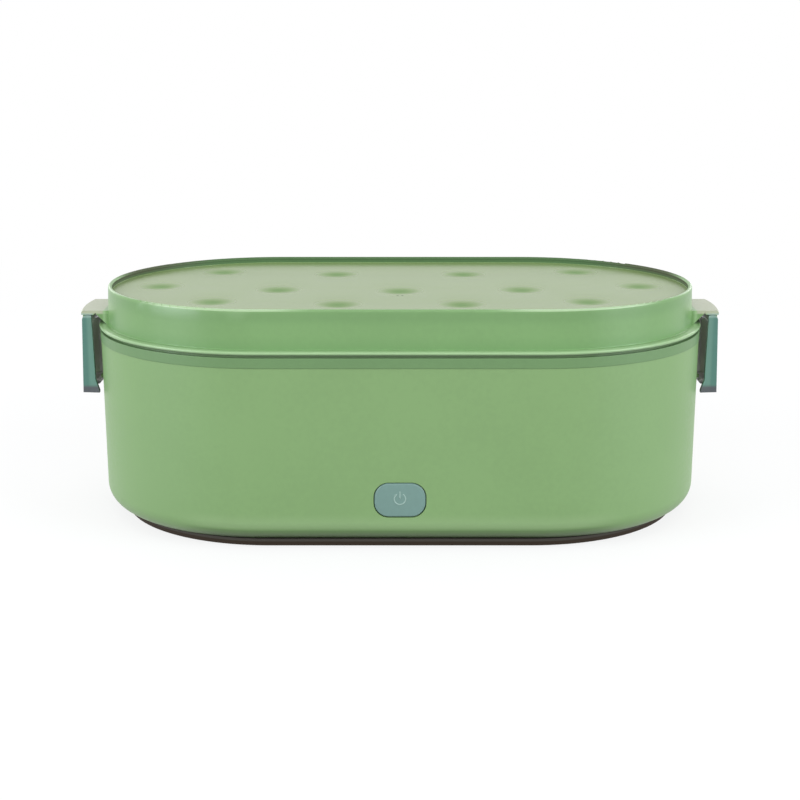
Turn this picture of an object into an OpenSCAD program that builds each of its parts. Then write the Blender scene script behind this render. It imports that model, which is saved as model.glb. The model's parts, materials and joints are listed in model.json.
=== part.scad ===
// Electric lunch box: an oval body with a lift-off lid held by a latch at each end.
// Millimetres. Z is up, Z = 0 is the table, and the front looks along -Y.

/* [Body] */
// Length of the straight middle, between the centres of the two round ends
straight_len = 104; // [96:1:130]
// Radius of the shell at its top edge
body_r = 67.5; // [64:0.5:76]
// How much narrower the shell is at its foot
body_draft = 0.26; // [0:0.02:0.6]
// Height of the shell's top edge above the table
body_h = 69.7; // [66:0.1:90]
// Thickness of the shell
shell_wall = 2; // [1.6:0.1:2.4]
// Radius of the shell's rounded foot
foot_fillet = 8; // [6:0.5:9]
// Height of the shell's lower edge above the table
shell_lift = 3.1; // [2.6:0.1:3.5]

/* [Collar and liner] */
// Height of the collar band over the shell
collar_h = 3.8; // [3.2:0.1:5]
// How far the collar stands proud of the shell
collar_proud = 0.2; // [0.1:0.05:0.4]
// Thickness of the ledge that the container's rim hangs over
ledge_t = 1.6; // [1.2:0.1:2]
// Space between the shell and the liner's wall
liner_gap = 3.1; // [2.6:0.1:4]
// Thickness of the liner
liner_wall = 1.8; // [1.4:0.1:2.2]
// Height of the bay for the electrics, between the base plate and the liner's floor
bay_h = 24.3; // [24:0.1:28]

/* [Lid] */
// Height of the lid above the seam
lid_h = 16.2; // [14:0.1:24]
// Height of the dark seam under the lid's flange
seam_h = 1; // [0.6:0.1:1.5]
// Thickness of the lid's flange
flange_t = 1.3; // [1:0.1:2.2]
// How far the flange stands out over the shell
flange_overhang = 0.5; // [0.3:0.1:1]
// How far the foot of the lid's wall is set in from the shell's top edge
lid_inset = 3; // [2.6:0.1:3.2]
// How much the lid's wall leans in towards its top
lid_draft = 0.5; // [0:0.1:1]
// Thickness of the lid's wall
lid_wall = 1.9; // [1.6:0.1:2.1]
// Thickness of the raised rim
rim_t = 1.5; // [1.2:0.1:1.8]
// Depth of the sunk top below the rim
recess = 2.4; // [1.6:0.1:3]
// Thickness of the sunk top
panel_t = 1.8; // [1.5:0.1:2.2]
// Radius of a dimple in the top
dimple_r = 10; // [6:0.5:11]
// Depth of a dimple
dimple_depth = 0.45; // [0.2:0.05:0.8]

/* [Latches] */
// Width of a latch and of the lid's ear over it
latch_w = 28; // [24:1:32]
// Height of a latch, from the ear's underside to its lower edge
latch_h = 31.4; // [28:0.2:34]
// How far a latch's outer face stands off the shell's top edge
latch_standoff = 7.15; // [6.8:0.05:7.6]
// Thickness of a latch's outer wall
latch_wall = 1.8; // [1.4:0.1:2]
// Thickness of a latch's two side walls
latch_side = 1.8; // [1.5:0.1:2]
// Depth of a latch's side walls, outside to inside
latch_depth = 4.85; // [4.6:0.05:5]
// Outward lean of the latches, as they stand unlocked
latch_lean = 1.6; // [1.2:0.1:2]
// Thickness of the ear's top plate
ear_t = 1.5; // [1.3:0.1:1.8]
// Height of the ear's top above the seam
ear_h = 6.35; // [5.9:0.05:7]
// Radius of the hinge pins
pin_r = 1; // [0.8:0.05:1.1]

/* [Button] */
// Width of the power button
button_w = 19; // [17:0.1:22]
// Height of the power button
button_h = 13; // [12:0.1:14]
// Corner radius of the power button
button_corner = 5.4; // [3:0.1:5.8]
// Rounding of the button's front edge
button_edge = 0.6; // [0.3:0.1:1]
// Gap all round the button
button_gap = 0.3; // [0.2:0.05:0.5]
// Distance of the button's middle below the liner's floor
button_drop = 8.15; // [8:0.05:9]
// Travel of the button
button_travel = 0.6; // [0.4:0.05:0.7]

/* [Container] */
// Thickness of the steel
steel_t = 0.6; // [0.5:0.05:0.8]
// Gap between the container and the liner's wall
container_gap = 1.2; // [0.8:0.1:1.6]
// Width of the container's rim
container_rim = 3.5; // [3.2:0.1:4]
// Radius of the container's rounded foot
container_fillet = 8; // [6:0.5:12]
// Thickness of the container's lid
inner_lid_t = 2; // [1.6:0.1:2.4]
// Depth of the plug under the container's lid
plug_depth = 6.2; // [5.6:0.1:8]

/* [Heater] */
// Straight length of the heating plate
plate_len = 70; // [66:1:80]
// End radius of the opening in the liner's floor
plate_hole_r = 30; // [26:0.5:34]
// Thickness of the heating plate's rim
plate_t = 1.5; // [1.2:0.1:2]
// Thickness of the seal under the plate's rim
gasket_t = 0.5; // [0.4:0.1:1]
// Length of the heating element
heater_len = 60; // [50:1:62]
// Width of the heating element
heater_w = 24; // [20:1:26]
// Thickness of the heating element
heater_t = 5; // [4:0.5:6]

/* [Inlet] */
// Width of the inlet's housing
inlet_w = 19.4; // [18:0.2:22]
// Height of the inlet's housing
inlet_h = 11.4; // [10.6:0.2:12]
// Spacing of the two pins
pin_pitch = 8.6; // [8:0.1:9]
// Radius of a contact pin
contact_r = 1.18; // [1:0.02:1.3]

/* [Base] */
// Height of the feet below the base plate
foot_proud = 0.5; // [0.4:0.1:0.8]
// Thickness of the plug that fills the shell's lower opening
base_plug_t = 0.6; // [0.4:0.1:1]
// How much shorter the base plate's straight middle is than the shell's
base_shorter = 6; // [4:1:8]
// Radius of a rubber foot
foot_r = 5; // [4:0.5:7]

/* [Hidden] */
$fn = 96;

// Small gaps
fit_gap = 0.3;
seat_gap = 0.05;
pin_gap = 0.06;
cut = 1;

// Heights, from the table up
foot_recess = 1;
base_z = foot_proud;
base_rim_top = shell_lift;
base_top = shell_lift + base_plug_t;
liner_z = base_top + bay_h;
liner_floor_z = liner_z + liner_wall;
ledge_z = body_h + ledge_t;
collar_z = body_h + collar_h;
flange_z = collar_z + seam_h;
lid_z = flange_z + lid_h;
panel_z = lid_z - recess;

// Radii of the oval's layers, from the outside in
shell_foot_r = body_r - body_draft;
shell_in_r = body_r - shell_wall;
liner_r = shell_in_r - liner_gap;
liner_in_r = liner_r - liner_wall;
container_r = liner_in_r - container_gap;
container_in_r = container_r - steel_t;
container_rim_r = container_r + container_rim;
bead_r = 0.6;
ledge_wall_r = container_rim_r + 1;
shell_hole_r = shell_foot_r - foot_fillet - 3.5;
base_r = shell_foot_r - 5;
base_len = straight_len - base_shorter;
lid_foot_r = body_r - lid_inset;
lid_top_r = lid_foot_r - lid_draft;
lid_in_r = lid_foot_r - lid_wall;
lid_ring_r = lid_foot_r + 1.5;
inner_lid_r = container_rim_r - 1.3;
plug_r = container_in_r - 0.8;
plug_wall = 1.6;
groove_depth = 0.8;
groove_lift = 1.8;
groove_h = 2.4;
dish_inset = 6;
dish_depth = 0.6;

// Heating plate and what hangs under it
gasket_top = liner_floor_z + gasket_t;
plate_top = gasket_top + plate_t;
plate_r = plate_hole_r + 4;
plate_boss_r = plate_hole_r - 0.4;
plate_under = liner_z - 0.4;
heater_z = plate_under - heater_t;
heater_x = -16;
clamp_t = 1.2;
clamp_z = heater_z - clamp_t;
clamp_half_w = 10;
clamp_reach = 9;
clamp_post_in = 4;
clamp_end_x = plate_len/2 + plate_hole_r + clamp_reach;
clamp_post_x = clamp_end_x - clamp_post_in;
clamp_post_r = 3;
clamp_screw_x = [-54, 20, 50];
screw_r = 1.4;
screw_head_r = 2.7;
screw_head_t = 1.6;
thermostat_x = 34;
thermostat_r = 8;
thermostat_neck_r = 6.6;
thermostat_neck_h = 6;
blade_h = 4.6;
blade_w = 6.3;
blade_t = 0.8;
blade_x = 4;
fuse_out = 5.5;
fuse_lift = 2.6;
fuse_y = heater_w/2 + fuse_out;
fuse_r = 2;
fuse_z = heater_z + fuse_lift;
fuse_len = 11;
lead_r = 0.5;
lead_len = 3.5;
clamp_finger_w = 6;

// Radius of the shell's outer face at a height, which its draft sets
function shell_r_at(z) = shell_foot_r
    + body_draft*(z - shell_lift - foot_fillet)/(body_h - shell_lift - foot_fillet);

// Button, switch and board, measured along Y from the shell's front face
button_z = liner_z - button_drop;
front_y = -shell_r_at(button_z);
wall_in_y = front_y + shell_wall;
button_flange_t = 1;
button_lip = 1;
button_stem_r = 2.4;
stem_end_y = wall_in_y + fit_gap + button_flange_t + 1.1;
switch_y = stem_end_y + 1.2;
switch_t = 3.5;
switch_w = 6;
plunger_r = 1.7;
board_y = switch_y + switch_t;
board_t = 1.6;
board_back_y = board_y + board_t;
board_w = 48;
board_h = 19;
board_top_z = liner_z - 1;
board_mid_z = board_top_z - board_h/2;
standoff_r = 2.6;
standoff_x = 20;
standoff_z = board_top_z - 3;
board_screw_r = 1;
board_screw_len = 6;
led_x = 7;
led_r = 1.5;
led_len = 3.6;
relay_x = -8;
relay_w = 15;
relay_t = 10;
capacitor_x = -22;
capacitor_w = 12;
capacitor_t = 7;
capacitor_drop = 9;

// Inlet, measured along Y from the shell's back face
inlet_drop = 9;
inlet_z = liner_z - inlet_drop;
inlet_flange = 2.2;
back_y = shell_r_at(inlet_z + inlet_h/2 + inlet_flange);
inlet_flange_t = 0.65;
inlet_depth = 15;
socket_depth = 11;
socket_w = 15.6;
socket_h = 7.8;
pin_recess = 1.5;
pin_tail = 2.2;
snap_half = 2.5;
snap_len = 5;
snap_out = 1.2;
snap_thin = 0.1;

// Screws, feet
base_boss_out = 8;
base_boss_in = 20.6;
base_boss_x = straight_len/2 + base_boss_out;
base_boss_y = liner_in_r - base_boss_in;
base_boss_r = 3.5;
base_head_t = 1.4;
base_screw_len = 11;
foot_out = 36;
foot_in = 36.2;
foot_x = straight_len/2 + foot_out;
foot_y = base_r - foot_in;

// Ears, latches and their pins, at the right end
end_x = straight_len/2;
latch_r = body_r + latch_standoff;
ear_r = latch_r + 0.2;
ear_top = flange_z + ear_h;
ear_under = ear_top - ear_t;
ear_bevel = 0.6;
ear_side_bevel = 1.2;
ear_skin = 0.7;
knuckle_r = 1.85;
latch_top_gap = 0.2;
hinge_z = ear_under - latch_top_gap - knuckle_r;
latch_half_w = latch_w/2;
latch_corner_x = end_x + sqrt(latch_r*latch_r - latch_half_w*latch_half_w);
hinge_x = latch_corner_x - knuckle_r;
latch_in_x = latch_corner_x - latch_depth;
latch_foot_z = ear_under - latch_h;
web_top_z = hinge_z - knuckle_r - 1.75;
knuckle_half = latch_half_w - latch_side - fit_gap;
toe_reach = 1.55;
toe_flat = 0.9;
toe_h = 5.3;
catch_z = latch_foot_z + 4;
catch_h = 2.5;
catch_out = 1.15;
catch_half = 5;
hook_half = 5.5;
hook_gap = 0.3;
hook_t = 2;
pin_skin = 0.5;
gusset_foot_x = end_x + lid_foot_r - 1.3;
gusset_top_x = latch_in_x - 0.3;
gusset_foot_z = ear_top - ear_skin - gusset_top_x + gusset_foot_x;

// Steam valve in the container's lid, and the pair of vents in the outer lid
valve_r = 4;
valve_cap_r = 6.5;
valve_cap_t = 2;
vent_r = 0.4;
vent_x = 0.9;
vent_y = -21.2;

// Dimples: rows of [distance back, first distance from the middle line, copies a side]
dimple_pitch = 48;
dimple_bow = 0.0012;
dimple_rows = [[30.4, 26.6, 2], [-10, 0, 3], [-40.1, 23.3, 2]];

// Routes of the inner wires, chosen by hand; the ends follow the terminals
wire_r = 0.9;
wire_sides = 8;
wire_gap = 0.15;
terminal_x = [13, 20];
terminal_drop = [16, 10];
terminal_z = [liner_z - terminal_drop[0], liner_z - terminal_drop[1]];
tail_y = back_y - inlet_depth - pin_tail;
lead_end = fuse_len/2 + lead_len;
heater_tab_half = 14;
heater_tab_out = 4;
heater_tab_x = [heater_x - heater_tab_half, heater_x + heater_tab_half];
heater_tab_y = -heater_w/2 - heater_tab_out;
heater_tab_z = heater_z + heater_t/2;
blade_foot_z = heater_z - thermostat_neck_h - blade_h;
live_route = [[4.3, 45, 19], [6, 40, 16], [11, 33, 10], [20, 22, 6], [24, 10, 5.2], [26, -4, 5.2],
    [26, -18, 5.2], [25, -30, 6], [23, -40, 8], [21, -48, 11], [20, -52, 12]];
neutral_route = [[-4.3, 45, 19], [-5, 40, 16], [-6, 34, 10], [-5, 25, 6], [-2, 14, 5.2],
    [2, 2, 5.2], [5, -12, 5.2], [8, -26, 6], [11, -38, 8], [12.5, -46, 11], [13, -52, 12]];
fuse_route = [[20, -52, 18], [19, -44, 17], [16, -34, 14], [12, -24, 12], [6, -12, 11.5],
    [2, 0, 11.5], [1, 10, 12.5], [1, 17, 17], [0.5, 19.5, 22], [-1.5, 18.2, 24.8], [-4, 17.5, 25.2]];
thermostat_route = [[-28, 17.6, 25.2], [-30.5, 18.6, 22.5], [-30, 20, 17], [-25, 20, 12],
    [-14, 19, 9], [0, 17, 8.5], [12, 12, 8.5], [21, 6, 8.2], [27, 1.5, 8], [30, 0, 9.6]];
heater_route = [[38, 0, 9.6], [36, -2.5, 8], [30, -8, 8], [22, -14, 8], [12, -18, 7.6],
    [4, -21, 9], [0, -21.5, 14], [-1.5, -21, 19], [-2, -19.5, 23.4]];
return_route = [[-30, -19.5, 23.4], [-29.5, -22, 19], [-27, -27, 15], [-20, -34, 12],
    [-10, -39, 11], [0, -41, 12], [6, -43, 15], [11, -47, 17.8], [13, -52, 18]];

// ---- Shared shapes ----

// A wall or a solid that follows the oval. Its section has x as the distance from the
// oval's middle line and y as the height.
module oval() {
    for (turn = [0, 180])
        rotate([0, 0, turn]) {
            translate([straight_len/2, 0, 0])
                rotate([0, 0, -90])
                    rotate_extrude(angle = 180)
                        children();
            translate([-straight_len/2, 0, 0])
                rotate([90, 0, 90])
                    linear_extrude(straight_len)
                        children();
        }
}

module oval_plate(r, len, z, t) {
    translate([0, 0, z])
        linear_extrude(t)
            union() {
                square([len, 2*r], center = true);
                for (side = [-1, 1])
                    translate([side*len/2, 0])
                        circle(r);
            }
}

// Half section of a tub with a rounded foot
module tub_section(top_r, foot_r, z, top, fillet) {
    polygon([[0, z], [foot_r - fillet, z], [foot_r - fillet, z + fillet],
        [foot_r, z + fillet], [top_r, top], [0, top]]);
    translate([foot_r - fillet, z + fillet])
        intersection() {
            circle(fillet);
            translate([0, -fillet])
                square(fillet);
        }
}

// Plate that fills an outline of rounded_rect from Y = 0 back, with its front edge rounded
module rounded_slab(w, h, r, t, edge) {
    for (x = [-1, 1], z = [-1, 1])
        translate([x*(w/2 - r), 0, z*(h/2 - r)])
            rotate([-90, 0, 0])
                rotate_extrude()
                    slab_edge(r, t, edge);
    for (turn = [0, 90, 180, 270]) {
        side = turn%180 == 0 ? [w, h] : [h, w];
        rotate([0, turn, 0])
            translate([side[0]/2 - r, 0, side[1]/2 - r])
                rotate([0, -90, 0])
                    linear_extrude(side[0] - 2*r)
                        slab_edge(r, t, edge);
    }
    translate([r - w/2, 0, r - h/2])
        cube([w - 2*r, t, h - 2*r]);
}

// Half section of a slab's side: x outwards, y from the front back
module slab_edge(r, t, edge) {
    square([r - edge, t]);
    translate([0, edge])
        square([r, t - edge]);
    translate([r - edge, edge])
        circle(edge);
}

module rounded_rect(w, h, r) {
    square([w - 2*r, h], center = true);
    square([w, h - 2*r], center = true);
    for (x = [-1, 1], y = [-1, 1])
        translate([x*(w/2 - r), y*(h/2 - r)])
            circle(r);
}

// An outline drawn in X and Z, from y back over a length
module along_y(y, len) {
    translate([0, y + len, 0])
        rotate([90, 0, 0])
            linear_extrude(len)
                children();
}

module rod_y(x, z, y, len, r) {
    translate([x, y + len, z])
        rotate([90, 0, 0])
            cylinder(h = len, r = r);
}

module both_ends() {
    children();
    mirror([1, 0, 0])
        children();
}

// Four copies, mirrored left to right and front to back
module four() {
    for (x = [0, 1], y = [0, 1])
        mirror([x, 0, 0])
            mirror([0, y, 0])
                children();
}

// Screw standing on its head, with a cross slot
module screw(head_r, head_t, r, len) {
    difference() {
        union() {
            cylinder(h = head_t, r = head_r);
            cylinder(h = head_t + len, r = r);
        }
        for (turn = [0, 90])
            rotate([0, 0, turn])
                translate([-head_r*0.6, -0.35, -cut])
                    cube([head_r*1.2, 0.7, cut + head_t*0.55]);
    }
}

// ---- Tube along a smooth curve through points ----

function curve_at(a, b, c, d, t) =
    0.5*(2*b + (c - a)*t + (2*a - 5*b + 4*c - d)*t*t + (3*b - a - 3*c + d)*t*t*t);
function smooth(p) = [
    for (i = [0:len(p) - 2], half = [0, 0.5])
        curve_at(p[max(i - 1, 0)], p[i], p[i + 1], p[min(i + 2, len(p) - 1)], half),
    p[len(p) - 1]
];
function unit(v) = v/norm(v);
function headings(p) = [
    for (i = [0:len(p) - 1]) unit(p[min(i + 1, len(p) - 1)] - p[max(i - 1, 0)])
];
function square_to(v, heading) = unit(v - (v*heading)*heading);
function carried(h, i, v) =
    i == len(h) ? [] : let (n = square_to(v, h[i])) concat([n], carried(h, i + 1, n));

module tube(route, r) {
    p = smooth(route);
    h = headings(p);
    start = abs(h[0].z) > 0.9 ? [1, 0, 0] : [0, 0, 1];
    n = carried(h, 0, start);
    s = wire_sides;
    last = (len(p) - 1)*s;
    points = [
        for (i = [0:len(p) - 1], k = [0:s - 1])
            p[i] + r*(cos(360*k/s)*n[i] + sin(360*k/s)*cross(h[i], n[i]))
    ];
    sides = [
        for (i = [0:len(p) - 2], k = [0:s - 1])
            let (a = i*s + k, b = i*s + (k + 1)%s)
            each [[a, b + s, b], [a, a + s, b + s]]
    ];
    ends = [
        for (k = [1:s - 2])
            each [[0, k, k + 1], [last, last + k + 1, last + k]]
    ];
    polyhedron(points, concat(sides, ends));
}

// ---- Body ----

module body_shell() {
    color([0.52, 0.66, 0.46])
    difference() {
        union() {
            oval()
                difference() {
                    tub_section(body_r, shell_foot_r, shell_lift, body_h, foot_fillet);
                    tub_section(body_r - shell_wall, shell_foot_r - shell_wall,
                        shell_lift + shell_wall, body_h + cut, foot_fillet - shell_wall);
                    square([shell_hole_r, shell_lift + shell_wall + cut]);
                }
            both_ends()
                latch_catch();
            for (x = [-standoff_x, standoff_x])
                rod_y(x, standoff_z, front_y + shell_wall/2, board_y - front_y - shell_wall/2,
                    standoff_r);
        }
        along_y(front_y - cut, shell_wall + 2*cut)
            translate([0, button_z])
                rounded_rect(button_w + 2*button_gap, button_h + 2*button_gap,
                    button_corner + button_gap);
        translate([-inlet_w/2 - seat_gap, back_y - shell_wall - cut, inlet_z - inlet_h/2 - seat_gap])
            cube([inlet_w + 2*seat_gap, shell_wall + 2*cut, inlet_h + 2*seat_gap]);
        for (x = [-standoff_x, standoff_x])
            rod_y(x, standoff_z, wall_in_y + cut, board_y - wall_in_y, board_screw_r + seat_gap);
    }
}

// Ridge that the latch's hook snaps under
module latch_catch() {
    face_x = end_x + body_r;
    along_y(-catch_half, 2*catch_half)
        polygon([[face_x - shell_wall/2, catch_z], [face_x + catch_out, catch_z],
            [face_x + catch_out, catch_z + catch_h/2], [face_x - shell_wall/2, catch_z + catch_h]]);
}

module inner_liner() {
    collar_r = body_r + collar_proud;
    color([0.46, 0.59, 0.41])
    difference() {
        union() {
            oval()
                difference() {
                    union() {
                        tub_section(liner_r, liner_r, liner_z, body_h + cut, 4);
                        translate([0, body_h])
                            square([collar_r, collar_h]);
                        translate([0, body_h - 2])
                            square([shell_in_r - fit_gap, 2 + cut]);
                    }
                    tub_section(liner_in_r, liner_in_r, liner_floor_z, collar_z + cut, 4 - liner_wall);
                    translate([0, ledge_z])
                        square([ledge_wall_r, collar_h]);
                    translate([0, body_h - 2 - cut])
                        difference() {
                            square([liner_r + cut + fit_gap, 2]);
                            square([liner_r, 2]);
                        }
                }
            four()
                translate([base_boss_x, base_boss_y, base_top])
                    cylinder(h = bay_h + liner_wall/2, r = base_boss_r);
            for (x = [-clamp_post_x, clamp_post_x])
                translate([x, 0, heater_z])
                    cylinder(h = liner_z - heater_z + liner_wall/2, r = clamp_post_r);
        }
        oval_plate(plate_hole_r, plate_len, liner_z - cut, liner_wall + 2*cut);
        four()
            translate([base_boss_x, base_boss_y, base_top - cut])
                cylinder(h = base_screw_len + cut, r = screw_r + seat_gap);
    }
}

module base_plate() {
    color([0.25, 0.22, 0.19])
    difference() {
        union() {
            oval_plate(base_r, base_len, base_z, base_rim_top - base_z);
            oval_plate(shell_hole_r - fit_gap, straight_len, base_z, base_top - base_z);
        }
        four() {
            translate([base_boss_x, base_boss_y, base_z - cut])
                cylinder(h = base_top + cut, r = screw_r + fit_gap);
            translate([base_boss_x, base_boss_y, base_z - cut])
                cylinder(h = base_head_t + cut, r = screw_head_r + fit_gap);
            translate([foot_x, foot_y, base_z - cut])
                cylinder(h = foot_recess + cut, r = foot_r + seat_gap);
        }
    }
}

module base_screws() {
    color("silver")
    four()
        translate([base_boss_x, base_boss_y, base_z])
            screw(screw_head_r, base_head_t, screw_r, base_screw_len);
}

module rubber_feet() {
    color([0.12, 0.12, 0.12])
    four()
        translate([foot_x, foot_y, 0])
            cylinder(h = foot_proud + foot_recess, r = foot_r);
}

// ---- Heater ----

module heating_plate() {
    color([0.78, 0.79, 0.8])
    difference() {
        union() {
            oval_plate(plate_r, plate_len, gasket_top, plate_t);
            oval_plate(plate_boss_r, plate_len, plate_under, plate_top - plate_under);
            for (x = clamp_screw_x)
                translate([x, 0, heater_z + fit_gap])
                    cylinder(h = heater_t, r = clamp_post_r);
        }
        for (x = clamp_screw_x)
            translate([x, 0, heater_z - cut])
                cylinder(h = heater_t + cut, r = screw_r + seat_gap);
    }
}

module plate_gasket() {
    color([0.85, 0.35, 0.25])
    difference() {
        oval_plate(plate_r - 0.5, plate_len, liner_floor_z, gasket_t);
        oval_plate(plate_hole_r + 0.5, plate_len, liner_floor_z - cut, gasket_t + 2*cut);
    }
}

module ptc_heater() {
    color([0.8, 0.8, 0.78])
    union() {
        translate([heater_x - heater_len/2, -heater_w/2, heater_z])
            cube([heater_len, heater_w, heater_t]);
        for (x = heater_tab_x)
            translate([x - 2.4, heater_tab_y, heater_tab_z - 0.4])
                cube([4.8, 5, 0.8]);
    }
}

module heater_clamp() {
    color([0.65, 0.66, 0.68])
    difference() {
        union() {
            translate([-clamp_end_x, -clamp_half_w, clamp_z])
                cube([2*clamp_end_x, 2*clamp_half_w, clamp_t]);
            translate([heater_x - clamp_finger_w/2, 0, clamp_z])
                cube([clamp_finger_w, fuse_y + fuse_r, clamp_t]);
            translate([heater_x - clamp_finger_w/2, fuse_y - fuse_r, clamp_z])
                cube([clamp_finger_w, 2*fuse_r, fuse_z - fuse_r - 0.1 - clamp_z]);
        }
        for (x = clamp_screw_x)
            translate([x, 0, clamp_z - cut])
                cylinder(h = clamp_t + 2*cut, r = screw_r + fit_gap);
        translate([thermostat_x, 0, clamp_z - cut])
            cylinder(h = clamp_t + 2*cut, r = thermostat_neck_r + fit_gap);
    }
}

module clamp_screws() {
    color("silver")
    for (x = clamp_screw_x)
        translate([x, 0, clamp_z - screw_head_t])
            screw(screw_head_r, screw_head_t, screw_r, clamp_t + heater_t - 1);
}

module thermostat() {
    color([0.2, 0.18, 0.17])
    translate([thermostat_x, 0, 0])
        union() {
            translate([0, 0, heater_z])
                cylinder(h = heater_t, r = thermostat_r);
            translate([0, 0, heater_z - thermostat_neck_h])
                cylinder(h = thermostat_neck_h + cut, r = thermostat_neck_r);
            for (x = [-blade_x, blade_x])
                translate([x - blade_t/2, -blade_w/2, blade_foot_z])
                    cube([blade_t, blade_w, blade_h + cut]);
        }
}

module thermal_fuse() {
    color([0.9, 0.88, 0.82])
    translate([heater_x, fuse_y, fuse_z])
        rotate([0, 90, 0]) {
            cylinder(h = fuse_len, r = fuse_r, center = true);
            cylinder(h = 2*lead_end, r = lead_r, center = true);
        }
}

// ---- Board, switch and button ----

module control_board() {
    color([0.15, 0.4, 0.25])
    difference() {
        translate([-board_w/2, board_y, board_top_z - board_h])
            cube([board_w, board_t, board_h]);
        for (x = [-standoff_x, standoff_x])
            rod_y(x, standoff_z, board_y - cut, board_t + 2*cut, board_screw_r + fit_gap);
    }
}

module board_screws() {
    color("silver")
    for (x = [-standoff_x, standoff_x])
        translate([x, board_back_y + screw_head_t, standoff_z])
            rotate([90, 0, 0])
                screw(board_screw_r*2, screw_head_t, board_screw_r, board_screw_len);
}

module tact_switch() {
    color([0.15, 0.15, 0.16])
    difference() {
        translate([-switch_w/2, switch_y, button_z - switch_w/2])
            cube([switch_w, switch_t, switch_w]);
        rod_y(0, button_z, switch_y - cut, switch_t - 0.7 + cut, plunger_r + 0.1);
    }
}

module switch_plunger() {
    color([0.85, 0.85, 0.85])
    rod_y(0, button_z, stem_end_y, switch_y - stem_end_y + switch_t - 0.8 - button_travel,
        plunger_r);
}

module indicator_led() {
    color([0.95, 0.95, 0.9])
    union() {
        rod_y(led_x, button_z, board_y - led_len + led_r, led_len - led_r, led_r);
        translate([led_x, board_y - led_len + led_r, button_z])
            sphere(led_r);
        rod_y(led_x, button_z, board_y - 0.6, 0.6, led_r + 0.3);
    }
}

module power_relay() {
    color([0.2, 0.35, 0.6])
    translate([relay_x, board_back_y, board_mid_z - relay_w/2])
        cube([relay_w, relay_t, relay_w]);
}

module capacitor() {
    color([0.85, 0.75, 0.25])
    translate([capacitor_x, board_back_y, board_mid_z - capacitor_drop])
        cube([capacitor_w, capacitor_t, capacitor_w]);
}

module power_button() {
    color([0.5, 0.61, 0.57])
    union() {
        translate([0, front_y, button_z])
            rounded_slab(button_w, button_h, button_corner, shell_wall + fit_gap, button_edge);
        along_y(wall_in_y + fit_gap, button_flange_t)
            translate([0, button_z])
                rounded_rect(button_w + 2*button_lip, button_h + 2*button_lip,
                    button_corner + button_lip);
        rod_y(0, button_z, wall_in_y + fit_gap + button_flange_t/2,
            stem_end_y - wall_in_y - fit_gap - button_flange_t/2, button_stem_r);
    }
}

// ---- Mains inlet and wiring ----

module power_inlet() {
    front = back_y - inlet_depth;
    lobe_r = socket_h/2;
    color([0.1, 0.1, 0.1])
    difference() {
        union() {
            along_y(front, inlet_depth + inlet_flange_t)
                translate([0, inlet_z])
                    square([inlet_w, inlet_h], center = true);
            along_y(back_y, inlet_flange_t)
                translate([0, inlet_z])
                    rounded_rect(inlet_w + 2*inlet_flange, inlet_h + 2*inlet_flange, 2.5);
            for (side = [-1, 1])
                translate([side*inlet_w/2, 0, inlet_z])
                    snap_tab(side);
        }
        along_y(back_y + inlet_flange_t - socket_depth, socket_depth + cut)
            translate([0, inlet_z])
                union() {
                    square([socket_w - 2*lobe_r, socket_h], center = true);
                    for (side = [-1, 1])
                        translate([side*(socket_w/2 - lobe_r), 0])
                            circle(lobe_r);
                }
        for (side = [-1, 1])
            rod_y(side*pin_pitch/2, inlet_z, front - cut, inlet_depth, contact_r);
    }
}

// Snap tab that holds the inlet behind the shell's wall
module snap_tab(side) {
    tab = back_y - shell_wall - fit_gap;
    translate([0, 0, -snap_half])
        linear_extrude(2*snap_half)
            polygon([[-side*snap_out/2, tab], [side*snap_out, tab],
                [side*snap_thin, tab - snap_len], [-side*snap_out/2, tab - snap_len]]);
}

module inlet_pins() {
    color([0.85, 0.83, 0.78])
    for (side = [-1, 1])
        rod_y(side*pin_pitch/2, inlet_z, tail_y, pin_tail + inlet_depth - pin_recess, contact_r);
}

module live_wire() {
    color([0.45, 0.25, 0.12])
    tube(concat([[pin_pitch/2, tail_y - wire_gap, inlet_z]], live_route,
        [[terminal_x[1], board_back_y + wire_gap, terminal_z[0]]]), wire_r);
}

module neutral_wire() {
    color([0.15, 0.3, 0.7])
    tube(concat([[-pin_pitch/2, tail_y - wire_gap, inlet_z]], neutral_route,
        [[terminal_x[0], board_back_y + wire_gap, terminal_z[0]]]), wire_r);
}

module fuse_wire() {
    color([0.75, 0.12, 0.1])
    tube(concat([[terminal_x[1], board_back_y + wire_gap, terminal_z[1]]], fuse_route,
        [[heater_x + lead_end + wire_gap, fuse_y, fuse_z]]), wire_r);
}

module thermostat_wire() {
    color([0.9, 0.9, 0.88])
    tube(concat([[heater_x - lead_end - wire_gap, fuse_y, fuse_z]], thermostat_route,
        [[thermostat_x - blade_x, 0, blade_foot_z - wire_gap]]), wire_r);
}

module heater_wire() {
    color([0.75, 0.12, 0.1])
    tube(concat([[thermostat_x + blade_x, 0, blade_foot_z - wire_gap]], heater_route,
        [[heater_tab_x[1], heater_tab_y - wire_gap, heater_tab_z]]), wire_r);
}

module return_wire() {
    color([0.9, 0.9, 0.88])
    tube(concat([[heater_tab_x[0], heater_tab_y - wire_gap, heater_tab_z]], return_route,
        [[terminal_x[0], board_back_y + wire_gap, terminal_z[1]]]), wire_r);
}

// ---- Container ----

module food_container() {
    rim_z = ledge_z + fit_gap;
    color([0.8, 0.8, 0.82])
    oval() {
        difference() {
            union() {
                tub_section(container_r, container_r, plate_top, rim_z + steel_t, container_fillet);
                translate([0, rim_z])
                    square([container_rim_r - bead_r, steel_t]);
            }
            tub_section(container_in_r, container_in_r, plate_top + steel_t, rim_z + cut,
                container_fillet - steel_t);
        }
        translate([container_rim_r - bead_r, rim_z + steel_t/2])
            circle(bead_r);
    }
}

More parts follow.
